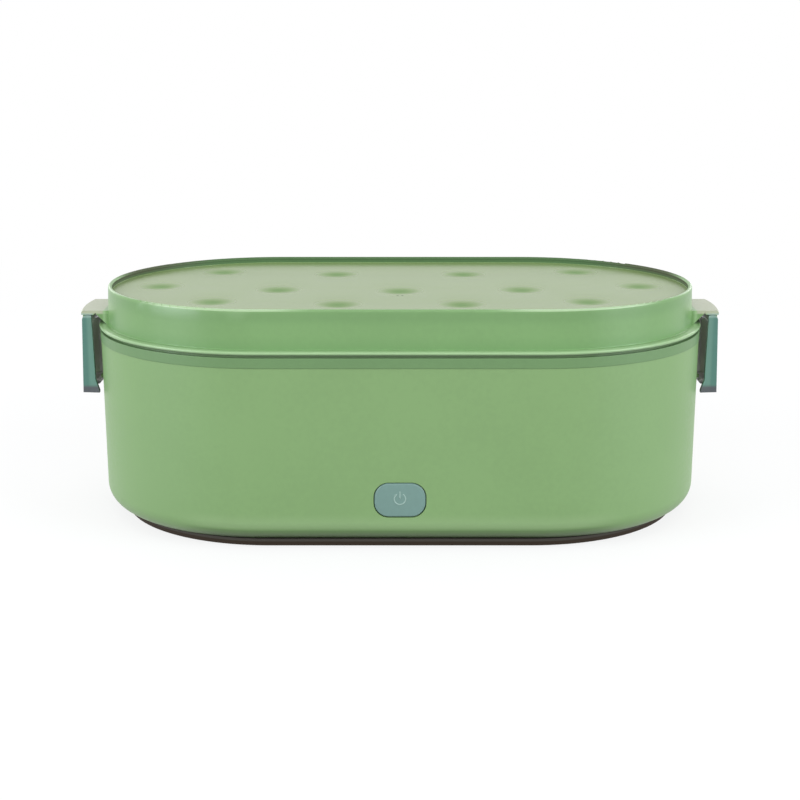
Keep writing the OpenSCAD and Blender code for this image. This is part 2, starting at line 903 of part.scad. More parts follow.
module container_lid() {
    seat_z = ledge_z + fit_gap + steel_t;
    color([0.93, 0.93, 0.9])
    difference() {
        oval()
            difference() {
                union() {
                    translate([0, seat_z])
                        square([inner_lid_r, inner_lid_t]);
                    translate([0, seat_z - plug_depth])
                        square([plug_r, plug_depth]);
                }
                square([plug_r - plug_wall, seat_z]);
                translate([plug_r - groove_depth, seat_z - plug_depth + groove_lift])
                    square([cut + groove_depth, groove_h]);
                translate([0, seat_z + inner_lid_t - dish_depth])
                    square([plug_r - dish_inset, cut]);
            }
        translate([0, 0, seat_z - cut])
            cylinder(h = inner_lid_t + 2*cut, r = valve_r);
    }
}

module container_seal() {
    seal_z = ledge_z + fit_gap + steel_t - plug_depth + groove_lift;
    color([0.9, 0.55, 0.4])
    oval()
        translate([plug_r - groove_depth + 0.1, seal_z + 0.1])
            square([container_in_r - plug_r + groove_depth - 0.2, groove_h - 0.2]);
}

module steam_valve() {
    top = ledge_z + fit_gap + steel_t + inner_lid_t - dish_depth;
    color([0.9, 0.55, 0.4])
    translate([0, 0, top])
        union() {
            cylinder(h = valve_cap_t, r = valve_cap_r);
            translate([0, 0, -inner_lid_t - 0.4])
                cylinder(h = inner_lid_t + 1, r = valve_r - pin_gap);
        }
}

// ---- Lid ----

module outer_lid() {
    color([0.5, 0.66, 0.45])
    difference() {
        union() {
            oval()
                lid_section();
            both_ends()
                ear();
        }
        dimples();
        for (x = [-vent_x, vent_x])
            translate([x, vent_y, panel_z - panel_t - cut])
                cylinder(h = panel_t + 2*cut, r = vent_r);
    }
}

module lid_section() {
    nose = flange_t/2;
    rim_r = rim_t/2;
    foot_fillet_r = 0.3;
    flange_top = flange_z + flange_t;
    difference() {
        union() {
            polygon([[0, collar_z], [lid_ring_r, collar_z], [lid_ring_r, flange_top],
                [lid_foot_r, flange_top], [lid_top_r, lid_z - rim_r], [0, lid_z - rim_r]]);
            translate([0, flange_z])
                square([body_r + flange_overhang - nose, flange_t]);
            translate([body_r + flange_overhang - nose, flange_z + nose])
                circle(nose);
            translate([lid_top_r - rim_r, lid_z - rim_r])
                circle(rim_r);
            translate([lid_foot_r - 0.1, flange_top])
                difference() {
                    square([foot_fillet_r + 0.1, foot_fillet_r]);
                    translate([foot_fillet_r + 0.1, foot_fillet_r])
                        circle(foot_fillet_r);
                }
        }
        polygon([[0, collar_z - cut], [lid_in_r, collar_z - cut], [lid_in_r, flange_top],
            [lid_top_r - lid_wall, panel_z - panel_t - 1.5],
            [lid_top_r - lid_wall - 1.5, panel_z - panel_t], [0, panel_z - panel_t]]);
        translate([0, panel_z])
            square([lid_top_r - rim_t, recess - rim_r]);
        translate([0, lid_z - rim_r])
            square([lid_top_r - 2*rim_r, rim_t]);
    }
}

// Each dimple is the cap of a large ball, cut off just over the sunk top
module dimples() {
    over = 0.05;
    ball = (dimple_r*dimple_r + dimple_depth*dimple_depth)/(2*dimple_depth);
    for (row = dimple_rows, i = [0:row[2] - 1]) {
        x = row[1] + i*dimple_pitch;
        for (side = x == 0 ? [1] : [-1, 1])
            translate([side*x, row[0] + dimple_bow*x*x, panel_z])
                intersection() {
                    translate([0, 0, ball - dimple_depth])
                        sphere(ball);
                    translate([0, 0, -cut])
                        cylinder(h = cut + over, r = 2*dimple_r);
                }
    }
}

// Bracket on the right end: a plate over the latch, a gusset under it and the pin's knuckle
module ear() {
    difference() {
        union() {
            intersection() {
                translate([end_x, 0, 0])
                    rotate_extrude()
                        polygon([[0, flange_z], [ear_r, flange_z], [ear_r, ear_top - ear_bevel],
                            [ear_r - ear_bevel, ear_top], [0, ear_top]]);
                along_y(-latch_half_w, latch_w)
                    polygon([[end_x, ear_top], [end_x + ear_r + cut, ear_top],
                        [end_x + ear_r + cut, ear_under], [latch_in_x, ear_under],
                        [gusset_top_x, ear_top - ear_skin], [gusset_foot_x, gusset_foot_z],
                        [end_x, gusset_foot_z]]);
                translate([end_x, 0, 0])
                    rotate([90, 0, 90])
                        linear_extrude(ear_r + cut)
                            polygon([[-latch_half_w, flange_z], [latch_half_w, flange_z],
                                [latch_half_w, ear_top - ear_side_bevel],
                                [latch_half_w - ear_side_bevel*0.7, ear_top],
                                [-latch_half_w + ear_side_bevel*0.7, ear_top],
                                [-latch_half_w, ear_top - ear_side_bevel]]);
            }
            rod_y(hinge_x, hinge_z, -knuckle_half, 2*knuckle_half, knuckle_r);
            translate([hinge_x - knuckle_r, -knuckle_half, hinge_z])
                cube([2*knuckle_r, 2*knuckle_half, ear_under - hinge_z + ear_t/2]);
        }
        translate([end_x, 0, flange_z - cut])
            cylinder(h = ear_h + 2*cut, r = lid_top_r - lid_wall/2);
        rod_y(hinge_x, hinge_z, -latch_w, 2*latch_w, pin_r + 0.02);
    }
}

// ---- Latches ----

// The right latch: a curved outer wall, two side walls with toes, and a hook in between
module latch() {
    color([0.39, 0.55, 0.51])
    translate([hinge_x, 0, hinge_z])
        rotate([0, -latch_lean, 0])
            translate([-hinge_x, 0, -hinge_z])
                latch_upright();
}

module latch_upright() {
    difference() {
        union() {
            intersection() {
                translate([end_x, 0, latch_foot_z - cut])
                    cylinder(h = latch_h + 2*cut, r = latch_r);
                union() {
                    difference() {
                        translate([end_x, -latch_half_w, latch_foot_z])
                            cube([latch_r, latch_w, web_top_z - latch_foot_z]);
                        translate([end_x, 0, latch_foot_z - cut])
                            cylinder(h = latch_h + 2*cut, r = latch_r - latch_wall);
                    }
                    for (y = [-latch_half_w, latch_half_w - latch_side])
                        along_y(y, latch_side)
                            latch_side_outline();
                }
            }
            latch_hook();
        }
        rod_y(hinge_x, hinge_z, pin_skin - latch_half_w - pin_gap,
            latch_w - 2*pin_skin + 2*pin_gap, pin_r + pin_gap);
    }
}

module latch_side_outline() {
    toe_z = latch_foot_z + toe_h;
    top_in_x = hinge_x - knuckle_r;
    polygon([[top_in_x, hinge_z], [latch_in_x, toe_z], [latch_in_x - toe_reach, latch_foot_z + toe_flat],
        [latch_in_x - toe_reach, latch_foot_z], [end_x + latch_r, latch_foot_z],
        [end_x + latch_r, web_top_z], [latch_corner_x, web_top_z], [latch_corner_x, hinge_z]]);
    translate([top_in_x, hinge_z])
        square(knuckle_r);
    translate([hinge_x, hinge_z])
        circle(knuckle_r);
}

module latch_hook() {
    tip_x = end_x + body_r + catch_out + hook_gap - 0.55;
    top = catch_z - 0.3;
    web_x = end_x + latch_r - latch_wall/2;
    along_y(-hook_half, 2*hook_half)
        polygon([[web_x, top], [tip_x + 0.6, top], [tip_x, top - 0.6],
            [tip_x, top - hook_t], [web_x, top - hook_t - 0.8]]);
}

module latch_left() {
    mirror([1, 0, 0])
        latch();
}

module latch_right() {
    latch();
}

module latch_pin() {
    color("silver")
    rod_y(hinge_x, hinge_z, pin_skin - latch_half_w, latch_w - 2*pin_skin, pin_r);
}

module latch_pin_left() {
    mirror([1, 0, 0])
        latch_pin();
}

module latch_pin_right() {
    latch_pin();
}

body_shell();
inner_liner();
base_plate();
base_screws();
rubber_feet();
heating_plate();
plate_gasket();
ptc_heater();
heater_clamp();
clamp_screws();
thermostat();
thermal_fuse();
control_board();
board_screws();
tact_switch();
switch_plunger();
indicator_led();
power_relay();
capacitor();
power_button();
power_inlet();
inlet_pins();
live_wire();
neutral_wire();
fuse_wire();
thermostat_wire();
heater_wire();
return_wire();
food_container();
container_lid();
container_seal();
steam_valve();
outer_lid();
latch_left();
latch_right();
latch_pin_left();
latch_pin_right();
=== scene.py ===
"""Looks of the oval electric lunch box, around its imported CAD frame. Metres, Z up, front along -Y."""

import json
import math

import bmesh
import bpy
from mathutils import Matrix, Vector


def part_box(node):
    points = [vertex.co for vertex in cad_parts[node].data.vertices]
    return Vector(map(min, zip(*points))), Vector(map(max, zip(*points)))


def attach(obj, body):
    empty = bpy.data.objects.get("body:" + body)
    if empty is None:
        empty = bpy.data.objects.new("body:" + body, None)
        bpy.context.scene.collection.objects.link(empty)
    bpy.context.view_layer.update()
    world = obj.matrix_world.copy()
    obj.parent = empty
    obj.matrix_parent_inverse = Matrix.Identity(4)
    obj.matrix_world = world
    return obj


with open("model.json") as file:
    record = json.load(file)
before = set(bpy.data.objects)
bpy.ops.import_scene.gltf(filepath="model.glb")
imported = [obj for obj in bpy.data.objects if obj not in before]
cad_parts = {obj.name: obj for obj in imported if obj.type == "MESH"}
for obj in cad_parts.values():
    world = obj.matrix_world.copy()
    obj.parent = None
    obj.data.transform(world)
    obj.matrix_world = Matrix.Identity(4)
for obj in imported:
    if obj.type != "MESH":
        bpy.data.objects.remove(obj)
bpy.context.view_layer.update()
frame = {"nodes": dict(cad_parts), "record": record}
nodes = frame["nodes"]

MM = 0.001

# ---- Camera, as in the photograph ----

CAMERA_PLACE = (0.0, -607.8 * MM, 191.7 * MM)
CAMERA_DOWN = 13.894
LENS = 68.967


def add_camera():
    data = bpy.data.cameras.new("camera")
    data.sensor_width = 36
    data.lens = LENS
    data.clip_start = 0.02
    data.clip_end = 60
    cam = bpy.data.objects.new("camera", data)
    cam.location = CAMERA_PLACE
    cam.rotation_euler = (math.radians(90 - CAMERA_DOWN), 0, 0)
    bpy.context.collection.objects.link(cam)
    bpy.context.scene.camera = cam


add_camera()
bpy.context.scene.view_settings.view_transform = "Standard"


# ---- Shader helpers ----


def srgb(r, g, b):
    """Linear colour of 8-bit display values."""
    out = []
    for v in (r, g, b):
        c = v / 255
        out.append(c / 12.92 if c <= 0.04045 else ((c + 0.055) / 1.055) ** 2.4)
    return (*out, 1.0)


class Shader:
    """A material's node tree, with short calls for the nodes that are used here."""

    def __init__(self, name):
        self.mat = bpy.data.materials.new(name)
        self.mat.use_nodes = True
        self.tree = self.mat.node_tree
        self.bsdf = self.tree.nodes["Principled BSDF"]
        self.coord = self.node("ShaderNodeTexCoord").outputs["Object"]

    def node(self, kind, **values):
        n = self.tree.nodes.new(kind)
        for k, v in values.items():
            setattr(n, k, v)
        return n

    def link(self, a, b):
        self.tree.links.new(a, b)

    def put(self, socket, value):
        if isinstance(value, bpy.types.NodeSocket):
            self.link(value, socket)
        else:
            socket.default_value = value

    def math(self, op, a, b=0.0):
        n = self.node("ShaderNodeMath", operation=op)
        self.put(n.inputs[0], a)
        self.put(n.inputs[1], b)
        return n.outputs[0]

    def xyz(self):
        n = self.node("ShaderNodeSeparateXYZ")
        self.link(self.coord, n.inputs[0])
        return n.outputs

    def noise(self, size, detail=2.0, rough=0.5, stretch=(1, 1, 1)):
        """Noise whose cells are about size metres across."""
        m = self.node("ShaderNodeMapping")
        m.inputs["Scale"].default_value = stretch
        self.link(self.coord, m.inputs["Vector"])
        n = self.node("ShaderNodeTexNoise")
        n.inputs["Scale"].default_value = 1 / size
        n.inputs["Detail"].default_value = detail
        n.inputs["Roughness"].default_value = rough
        self.link(m.outputs[0], n.inputs["Vector"])
        return n.outputs["Fac"]

    def ramp(self, value, lo, hi, out_lo=0.0, out_hi=1.0):
        n = self.node("ShaderNodeMapRange", interpolation_type="SMOOTHSTEP")
        self.put(n.inputs["Value"], value)
        for name, v in (("From Min", lo), ("From Max", hi), ("To Min", out_lo), ("To Max", out_hi)):
            n.inputs[name].default_value = v
        return n.outputs["Result"]

    def mix(self, factor, a, b):
        n = self.node("ShaderNodeMix", data_type="RGBA")
        self.put(n.inputs["Factor"], factor)
        self.put(n.inputs[6], a)
        self.put(n.inputs[7], b)
        return n.outputs[2]

    def bump(self, height, distance, normal=None):
        n = self.node("ShaderNodeBump")
        n.inputs["Strength"].default_value = 1.0
        n.inputs["Distance"].default_value = distance
        self.link(height, n.inputs["Height"])
        if normal is not None:
            self.link(normal, n.inputs["Normal"])
        return n.outputs["Normal"]

    def rounded(self, radius):
        n = self.node("ShaderNodeBevel", samples=6)
        n.inputs["Radius"].default_value = radius
        return n.outputs["Normal"]


def moulded(name, colour, roughness=0.38, grain=0.35 * MM, depth=0.006 * MM, mottle=0.025, edge=0.0,
            specular=0.5):
    """Moulded plastic or rubber: fine grain, faint blotches in its colour and gloss, rounded edges."""
    s = Shader(name)
    broad = s.noise(34 * MM, 2)
    fine = s.noise(1.8 * MM, 2)
    blotch = s.math("ADD", s.math("MULTIPLY", broad, 0.6), s.math("MULTIPLY", fine, 0.4))
    dark = tuple(c * (1 - mottle) for c in colour[:3]) + (1,)
    light = tuple(min(1, c * (1 + mottle)) for c in colour[:3]) + (1,)
    s.colour = s.mix(s.ramp(blotch, 0.35, 0.65), dark, light)
    s.link(s.colour, s.bsdf.inputs["Base Color"])
    s.link(s.ramp(fine, 0.3, 0.7, roughness - 0.03, roughness + 0.03), s.bsdf.inputs["Roughness"])
    s.bsdf.inputs["Specular IOR Level"].default_value = specular
    normal = s.rounded(edge) if edge else None
    s.link(s.bump(s.noise(grain, 2, 0.6), depth, normal), s.bsdf.inputs["Normal"])
    return s


def metal(name, colour, roughness, grain=((1, 1, 1),), size=0.3 * MM, depth=0.002 * MM, edge=0.0):
    """Metal whose brushed, drawn or plated lines run along the directions that each grain squeezes."""
    s = Shader(name)
    lines = s.noise(size, 3, 0.65, stretch=grain[0])
    for g in grain[1:]:
        lines = s.math("MULTIPLY", s.math("ADD", lines, s.noise(size, 3, 0.65, stretch=g)), 0.5)
    broad = s.noise(30 * MM, 2)
    s.bsdf.inputs["Metallic"].default_value = 1
    dark = tuple(c * 0.95 for c in colour[:3]) + (1,)
    s.link(s.mix(s.ramp(broad, 0.3, 0.7), dark, colour), s.bsdf.inputs["Base Color"])
    s.link(s.ramp(lines, 0.3, 0.7, roughness - 0.04, roughness + 0.04), s.bsdf.inputs["Roughness"])
    normal = s.rounded(edge) if edge else None
    s.link(s.bump(lines, depth, normal), s.bsdf.inputs["Normal"])
    return s


# ---- Materials ----

END_X = 52 * MM
RECESS_R = 62.5 * MM
LID_FOOT_R = 64.5 * MM
BEAD_R = 63.25 * MM
PANEL_Z = 88.3 * MM
SEAM_TOP = 74.5 * MM
FLANGE_TOP = 75.8 * MM
EAR_X = 117 * MM
EAR_UNDER, EAR_TOP = 79.35 * MM, 80.85 * MM
LATCH_TOE_Z, LATCH_TOP_Z = 47.95 * MM, 79 * MM
LATCH_SKIN_R = 73.6 * MM
SHELL_FOOT_Z = 3.1 * MM
DIMPLE_ROWS = ((30.4, 26.6, 2), (-10, 0, 3), (-40.1, 23.3, 2))
DIMPLE_PITCH, DIMPLE_BOW, DIMPLE_R = 48, 0.0012, 10 * MM
VENT = (0.9 * MM, -21.2 * MM, 0.4 * MM)


def from_middle(s):
    """Distance of a point from the oval's middle line, seen from above."""
    x, y, _ = s.xyz()
    past = s.math("MAXIMUM", s.math("SUBTRACT", s.math("ABSOLUTE", x), END_X), 0)
    return s.math("SQRT", s.math("ADD", s.math("MULTIPLY", past, past), s.math("MULTIPLY", y, y)))


def tint(s, factor, colour, amount=1.0):
    """Lays a colour over what the material has, where factor says."""
    s.colour = s.mix(s.math("MULTIPLY", factor, amount), s.colour, colour)
    s.link(s.colour, s.bsdf.inputs["Base Color"])


def gloss(s, factor, roughness):
    """Changes how rough the surface is where factor says."""
    rough = s.bsdf.inputs["Roughness"].links[0].from_socket
    step = s.math("MULTIPLY", factor, s.math("SUBTRACT", roughness, rough))
    s.link(s.math("ADD", rough, step), s.bsdf.inputs["Roughness"])


def near(s, x, y, spot_x, spot_y, inner, outer):
    """1 within inner of a vertical line, 0 past outer."""
    dx, dy = s.math("SUBTRACT", x, spot_x), s.math("SUBTRACT", y, spot_y)
    away = s.math("SQRT", s.math("ADD", s.math("MULTIPLY", dx, dx), s.math("MULTIPLY", dy, dy)))
    return s.ramp(away, outer, inner)


def both(s, *factors):
    """1 where all the factors are."""
    out = factors[0]
    for f in factors[1:]:
        out = s.math("MULTIPLY", out, f)
    return out


def shell_material():
    """The shell, with painted shade where it turns in under its straight sides and a painted highlight line
    just above it.
    """
    s = moulded("green_plastic", srgb(125, 158, 103), 0.42)
    _, y, z = s.xyz()
    side = s.ramp(s.math("DIVIDE", s.math("ABSOLUTE", y), from_middle(s)), 0.86, 0.985)
    # Painted shade: darker green towards the foot, where the shell turns in under its straight sides.
    tint(s, both(s, side, s.ramp(z, 8.3 * MM, 7.4 * MM)), srgb(70, 100, 48), 0.5)
    tint(s, both(s, side, s.ramp(z, 7.4 * MM, SHELL_FOOT_Z)), srgb(26, 40, 16), 0.65)
    # Painted highlight: a paler band just above the painted shade at the foot.
    painted_light_line = both(s, side, s.ramp(z, 8.2 * MM, 9 * MM), s.ramp(z, 15 * MM, 10 * MM))
    tint(s, painted_light_line, srgb(152, 178, 132), 0.35)
    return s.mat


def lid_material():
    """The lid's sunk top with a painted warm reflection and painted shade in its dimples and around its
    vents, its rim with painted shade inside and a painted highlight on the near side, its wall with painted
    shade at foot and top, its flange with a painted highlight over painted shade in the seam, and its ears
    with a painted reflection and painted highlights.
    """
    s = moulded("lid_plastic", srgb(116, 154, 97), 0.32)
    x, y, z = s.xyz()
    wide, deep = s.math("ABSOLUTE", x), s.math("ABSOLUTE", y)
    reach = from_middle(s)
    panel = both(s, s.ramp(z, PANEL_Z + 0.15 * MM, PANEL_Z + 0.05 * MM),
                 s.ramp(z, PANEL_Z - 1.5 * MM, PANEL_Z - 1 * MM),
                 s.ramp(reach, RECESS_R + 0.1 * MM, RECESS_R))
    # Painted reflection: a warmer, paler tone over the sunk top stands in for the white studio reflected at
    # a low angle.
    tint(s, panel, srgb(146, 154, 98), 0.7)
    dimple = 0
    for row_y, first, count in DIMPLE_ROWS:
        for i in range(count):
            mid_x = first + i * DIMPLE_PITCH
            spot = near(s, wide, y, mid_x * MM, (row_y + DIMPLE_BOW * mid_x ** 2) * MM, 0, 0.95 * DIMPLE_R)
            dimple = s.math("MAXIMUM", spot, dimple)
    dimple = both(s, panel, dimple)
    # Painted shade: the dimples are darkened where their far slopes turn from the light.
    tint(s, dimple, srgb(96, 134, 70), 0.75)
    gloss(s, panel, 0.27)
    gloss(s, dimple, 0.75)
    # Painted shade: a dark ring around each vent hole.
    tint(s, near(s, wide, y, *VENT[:2], 1.05 * VENT[2], 1.3 * VENT[2]), srgb(40, 52, 34), 0.9)
    in_rim = both(s, s.ramp(z, PANEL_Z + 0.05 * MM, PANEL_Z + 0.25 * MM),
                  s.ramp(z, PANEL_Z + 1.8 * MM, PANEL_Z + 1.5 * MM),
                  s.ramp(reach, RECESS_R + 0.4 * MM, RECESS_R + 0.2 * MM))
    # Painted shade: the inner wall of the rim and the inside of its bead at the back are painted dark, green
    # along the sides and brown at the ends.
    rim_painted_shade = s.mix(s.ramp(wide, 76 * MM, 106 * MM), srgb(44, 76, 34), srgb(50, 42, 28))
    tint(s, in_rim, rim_painted_shade)
    gloss(s, in_rim, 0.7)
    bead = s.ramp(z, PANEL_Z + 1.5 * MM, PANEL_Z + 1.8 * MM)
    bead_in = both(s, bead, s.ramp(reach, BEAD_R + 0.6 * MM, BEAD_R + 0.35 * MM), s.ramp(y, 0, 25 * MM))
    tint(s, bead_in, rim_painted_shade, 0.85)
    gloss(s, bead_in, 0.7)
    # Painted highlight: a pale line along the near side of the rim's bead.
    tint(s, both(s, bead, s.ramp(y, -30 * MM, -50 * MM), s.ramp(wide, 30 * MM, 50 * MM),
                 s.ramp(wide, 100 * MM, 85 * MM)), srgb(196, 218, 178), 0.5)
    wall = s.ramp(reach, LID_FOOT_R + 0.4 * MM, LID_FOOT_R + 0.1 * MM)
    # Painted shade: the wall is darker towards its foot by the flange and towards its top.
    tint(s, both(s, wall, s.ramp(z, 81.5 * MM, FLANGE_TOP)), srgb(92, 132, 80), 0.4)
    tint(s, both(s, wall, s.ramp(z, 84 * MM, 88 * MM), s.ramp(z, 90 * MM, 89 * MM)), srgb(96, 134, 82), 0.35)
    # Painted highlight: the flange's nose is painted paler.
    flange = both(s, s.ramp(reach, LID_FOOT_R + 0.4 * MM, LID_FOOT_R + 1.6 * MM),
                  s.ramp(wide, EAR_X + 0.5 * MM, EAR_X - 0.5 * MM))
    tint(s, flange, srgb(180, 208, 164), 0.4)
    # Painted shade: a dark line at the seam under the flange.
    tint(s, s.ramp(z, SEAM_TOP + 0.1 * MM, SEAM_TOP - 0.1 * MM), srgb(34, 54, 28), 0.6)
    # Painted reflection: the ears are painted pale and warm where they catch the white studio.
    ear = both(s, s.ramp(wide, EAR_X - 0.5 * MM, EAR_X + 0.5 * MM),
               s.ramp(z, EAR_UNDER, EAR_UNDER + 0.8 * MM))
    tint(s, ear, srgb(200, 188, 178), 0.55)
    # Painted highlight: a pale strip on the front and back faces of the ears' outer ends.
    ear_side = both(s, s.ramp(deep, 13.75 * MM, 13.95 * MM), s.ramp(wide, 120.5 * MM, 121.5 * MM),
                    s.ramp(z, EAR_TOP - 0.3 * MM, EAR_TOP - 0.6 * MM))
    tint(s, ear_side, srgb(168, 186, 178), 0.8)
    return s.mat


def latch_material():
    """Teal outside; the inner faces are painted near white, painted light that lifts the shaded channel; the
    lowest edge has painted shade; the top edge and a strip along the inner edge of the sides have painted
    highlights.
    """
    s = moulded("latch_plastic", srgb(84, 128, 118), 0.36, edge=0.25 * MM)
    x, y, z = s.xyz()
    wide, deep = s.math("ABSOLUTE", x), s.math("ABSOLUTE", y)
    # Painted light: the inner faces are painted near white with a mauve cast, so the shaded channel reads
    # lighter.
    inside = both(s, s.ramp(deep, 12.6 * MM, 12.1 * MM),
                  s.ramp(from_middle(s), LATCH_SKIN_R + 0.2 * MM, LATCH_SKIN_R))
    tint(s, inside, srgb(240, 230, 240))
    side = s.ramp(deep, 13.4 * MM, 13.8 * MM)
    # Painted highlight: a paler strip on the side faces along their inner edge.
    tint(s, both(s, side, s.ramp(wide, 124.2 * MM, 122.8 * MM)), srgb(134, 170, 154), 0.35)
    # Painted shade: the lowest edge is painted a dark grey.
    tint(s, s.ramp(z, LATCH_TOE_Z + 3.4 * MM, LATCH_TOE_Z + 1.8 * MM), srgb(84, 78, 88), 0.85)
    # Painted highlight: the top edge is painted paler.
    tint(s, s.ramp(z, LATCH_TOP_Z - 1.2 * MM, LATCH_TOP_Z - 0.4 * MM), srgb(150, 178, 168), 0.8)
    return s.mat


def base_material():
    """Dark brown base, with a painted grey highlight along the top of its rim."""
    s = moulded("base_plastic", srgb(46, 36, 26), 0.7, depth=0.02 * MM, specular=0.2)
    z = s.xyz()[2]
    # Painted highlight: greyer above about 2 mm.
    tint(s, s.ramp(z, 1.8 * MM, 2.3 * MM), srgb(70, 66, 60), 0.9)
    return s.mat


made = {}
made["green_plastic"] = shell_material()
made["lid_plastic"] = lid_material()
made["collar_plastic"] = moulded("collar_plastic", srgb(102, 136, 88), 0.42, edge=0.3 * MM).mat
made["latch_plastic"] = latch_material()
made["button_plastic"] = moulded("button_plastic", srgb(112, 142, 134), 0.36, edge=0.3 * MM).mat
made["base_plastic"] = base_material()
made["black_rubber"] = moulded("black_rubber", srgb(30, 30, 30), 0.75, depth=0.02 * MM, specular=0.3).mat
made["silicone"] = moulded("silicone", srgb(225, 140, 104), 0.5, depth=0.004 * MM).mat
made["stainless_steel"] = metal("stainless_steel", srgb(214, 214, 216), 0.26,
                                grain=((0.02, 0.02, 1), (0.02, 1, 0.02)), depth=0.001 * MM).mat
made["zinc_steel"] = metal("zinc_steel", srgb(198, 200, 204), 0.3, edge=0.1 * MM).mat
made["aluminium"] = metal("aluminium", srgb(214, 216, 218), 0.36, grain=((0.03, 1, 1),), size=0.5 * MM).mat
made["white_plastic"] = moulded("white_plastic", srgb(232, 232, 224), 0.42, depth=0.0006 * MM, mottle=0.01,
                                grain=0.8 * MM).mat
made["black_plastic"] = moulded("black_plastic", srgb(34, 34, 35), 0.45, depth=0.015 * MM, edge=0.2 * MM).mat
made["ceramic"] = moulded("ceramic", srgb(226, 220, 205), 0.2, depth=0.004 * MM, mottle=0.03).mat
made["circuit_board"] = moulded("circuit_board", srgb(32, 92, 54), 0.25, depth=0.01 * MM, mottle=0.1).mat
made["relay_plastic"] = moulded("relay_plastic", srgb(44, 84, 156), 0.3, edge=0.4 * MM).mat
made["capacitor_plastic"] = moulded("capacitor_plastic", srgb(214, 180, 58), 0.3, edge=0.4 * MM).mat
made["clear_lens"] = moulded("clear_lens", srgb(236, 238, 230), 0.08, depth=0.001 * MM).mat
made["brass"] = metal("brass", srgb(206, 190, 150), 0.25, edge=0.1 * MM).mat
for wire, colour in {"wire_brown": (104, 58, 28), "wire_blue": (30, 66, 162), "wire_red": (176, 30, 24),
                     "wire_white": (222, 222, 214)}.items():
    made[wire] = moulded(wire, srgb(*colour), 0.4, depth=0.003 * MM).mat

slot_of = {s["node"]: s["material_slot"] for s in frame["record"]["subparts"]}


# ---- CAD nodes: smooth faces and materials ----


def smoother(angle):
    """Geometry nodes that smooth a mesh across every edge flatter than the angle."""
    tree = bpy.data.node_groups.new("smooth_by_angle", "GeometryNodeTree")
    tree.interface.new_socket("Geometry", in_out="INPUT", socket_type="NodeSocketGeometry")
    tree.interface.new_socket("Geometry", in_out="OUTPUT", socket_type="NodeSocketGeometry")
    into, out = tree.nodes.new("NodeGroupInput"), tree.nodes.new("NodeGroupOutput")
    edge = tree.nodes.new("GeometryNodeInputMeshEdgeAngle")
    flat = tree.nodes.new("FunctionNodeCompare")
    flat.data_type, flat.operation = "FLOAT", "LESS_THAN"
    flat.inputs["B"].default_value = math.radians(angle)
    merge = tree.nodes.new("GeometryNodeMergeByDistance")
    merge.inputs["Distance"].default_value = 0.00001
    faces, edges = (tree.nodes.new("GeometryNodeSetShadeSmooth") for _ in range(2))
    faces.domain, edges.domain = "FACE", "EDGE"
    link = tree.links.new
    link(into.outputs[0], merge.inputs["Geometry"])
    link(merge.outputs[0], faces.inputs["Geometry"])
    link(edge.outputs["Unsigned Angle"], flat.inputs["A"])
    link(faces.outputs[0], edges.inputs["Geometry"])
    link(flat.outputs["Result"], edges.inputs["Shade Smooth"])
    link(edges.outputs[0], out.inputs[0])
    return tree


SMOOTH_ANGLE = 28
SMOOTH = smoother(SMOOTH_ANGLE)


def smooth(obj):
    mod = obj.modifiers.new("smooth", "NODES")
    mod.node_group = SMOOTH


for name, obj in nodes.items():
    obj.data.materials.clear()
    obj.data.materials.append(made[slot_of[name]])
    smooth(obj)


# ---- Power symbol, raised on the button's face ----

SYMBOL_R = 2.1 * MM
SYMBOL_LINE = 0.22 * MM
SYMBOL_PROUD = 0.14 * MM
SYMBOL_SUNK = 0.01 * MM
SYMBOL_LIFT = 0.45 * MM
SYMBOL_GAP = 32
SYMBOL_BAR = (0.1 * MM, 2.9 * MM)


def rounded_stroke(bm, path, radius, proud):
    """Lays a low rounded ridge along a path in the XZ plane, standing proud towards -Y."""
    rings = []
    steps = 8
    for i, p in enumerate(path):
        ahead, behind = path[min(i + 1, len(path) - 1)], path[max(i - 1, 0)]
        run = Vector((ahead[0] - behind[0], 0, ahead[1] - behind[1])).normalized()
        across = Vector((run.z, 0, -run.x))
        ring = []
        for k in range(steps + 1):
            a = math.pi * k / steps
            ring.append(bm.verts.new(Vector((p[0], 0, p[1])) + across * radius * math.cos(a)
                                     + Vector((0, -proud * math.sin(a), 0))))
        rings.append(ring)
    for a, b in zip(rings, rings[1:]):
        for k in range(steps):
            bm.faces.new((a[k], a[k + 1], b[k + 1], b[k]))
        bm.faces.new((a[0], b[0], b[steps], a[steps]))
    for ring in (rings[0], rings[-1]):
        bm.faces.new(ring if ring is rings[0] else ring[::-1])


def add_power_symbol():
    lo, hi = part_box("power_button")
    middle = (lo.z + hi.z) / 2
    bm = bmesh.new()
    arc = [math.radians(90 + SYMBOL_GAP + i * (360 - 2 * SYMBOL_GAP) / 40) for i in range(41)]
    low, high = SYMBOL_BAR
    ring = [(SYMBOL_R * math.cos(a), SYMBOL_R * math.sin(a)) for a in arc]
    bar = [(0, low + (high - low) * i / 6) for i in range(7)]
    for path in (ring, bar):
        rounded_stroke(bm, path, SYMBOL_LINE, SYMBOL_PROUD)
    bmesh.ops.recalc_face_normals(bm, faces=bm.faces)
    mesh = bpy.data.meshes.new("power_symbol")
    bm.to_mesh(mesh)
    bm.free()
    for poly in mesh.polygons:
        poly.use_smooth = True
    symbol = bpy.data.objects.new("power_symbol", mesh)
    symbol.location = (0, lo.y + SYMBOL_SUNK, middle + SYMBOL_LIFT)
    bpy.context.collection.objects.link(symbol)
    mesh.materials.append(moulded("symbol_plastic", srgb(150, 176, 166), 0.25, depth=0.002 * MM).mat)
    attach(symbol, "button")


add_power_symbol()


# ---- Studio ----


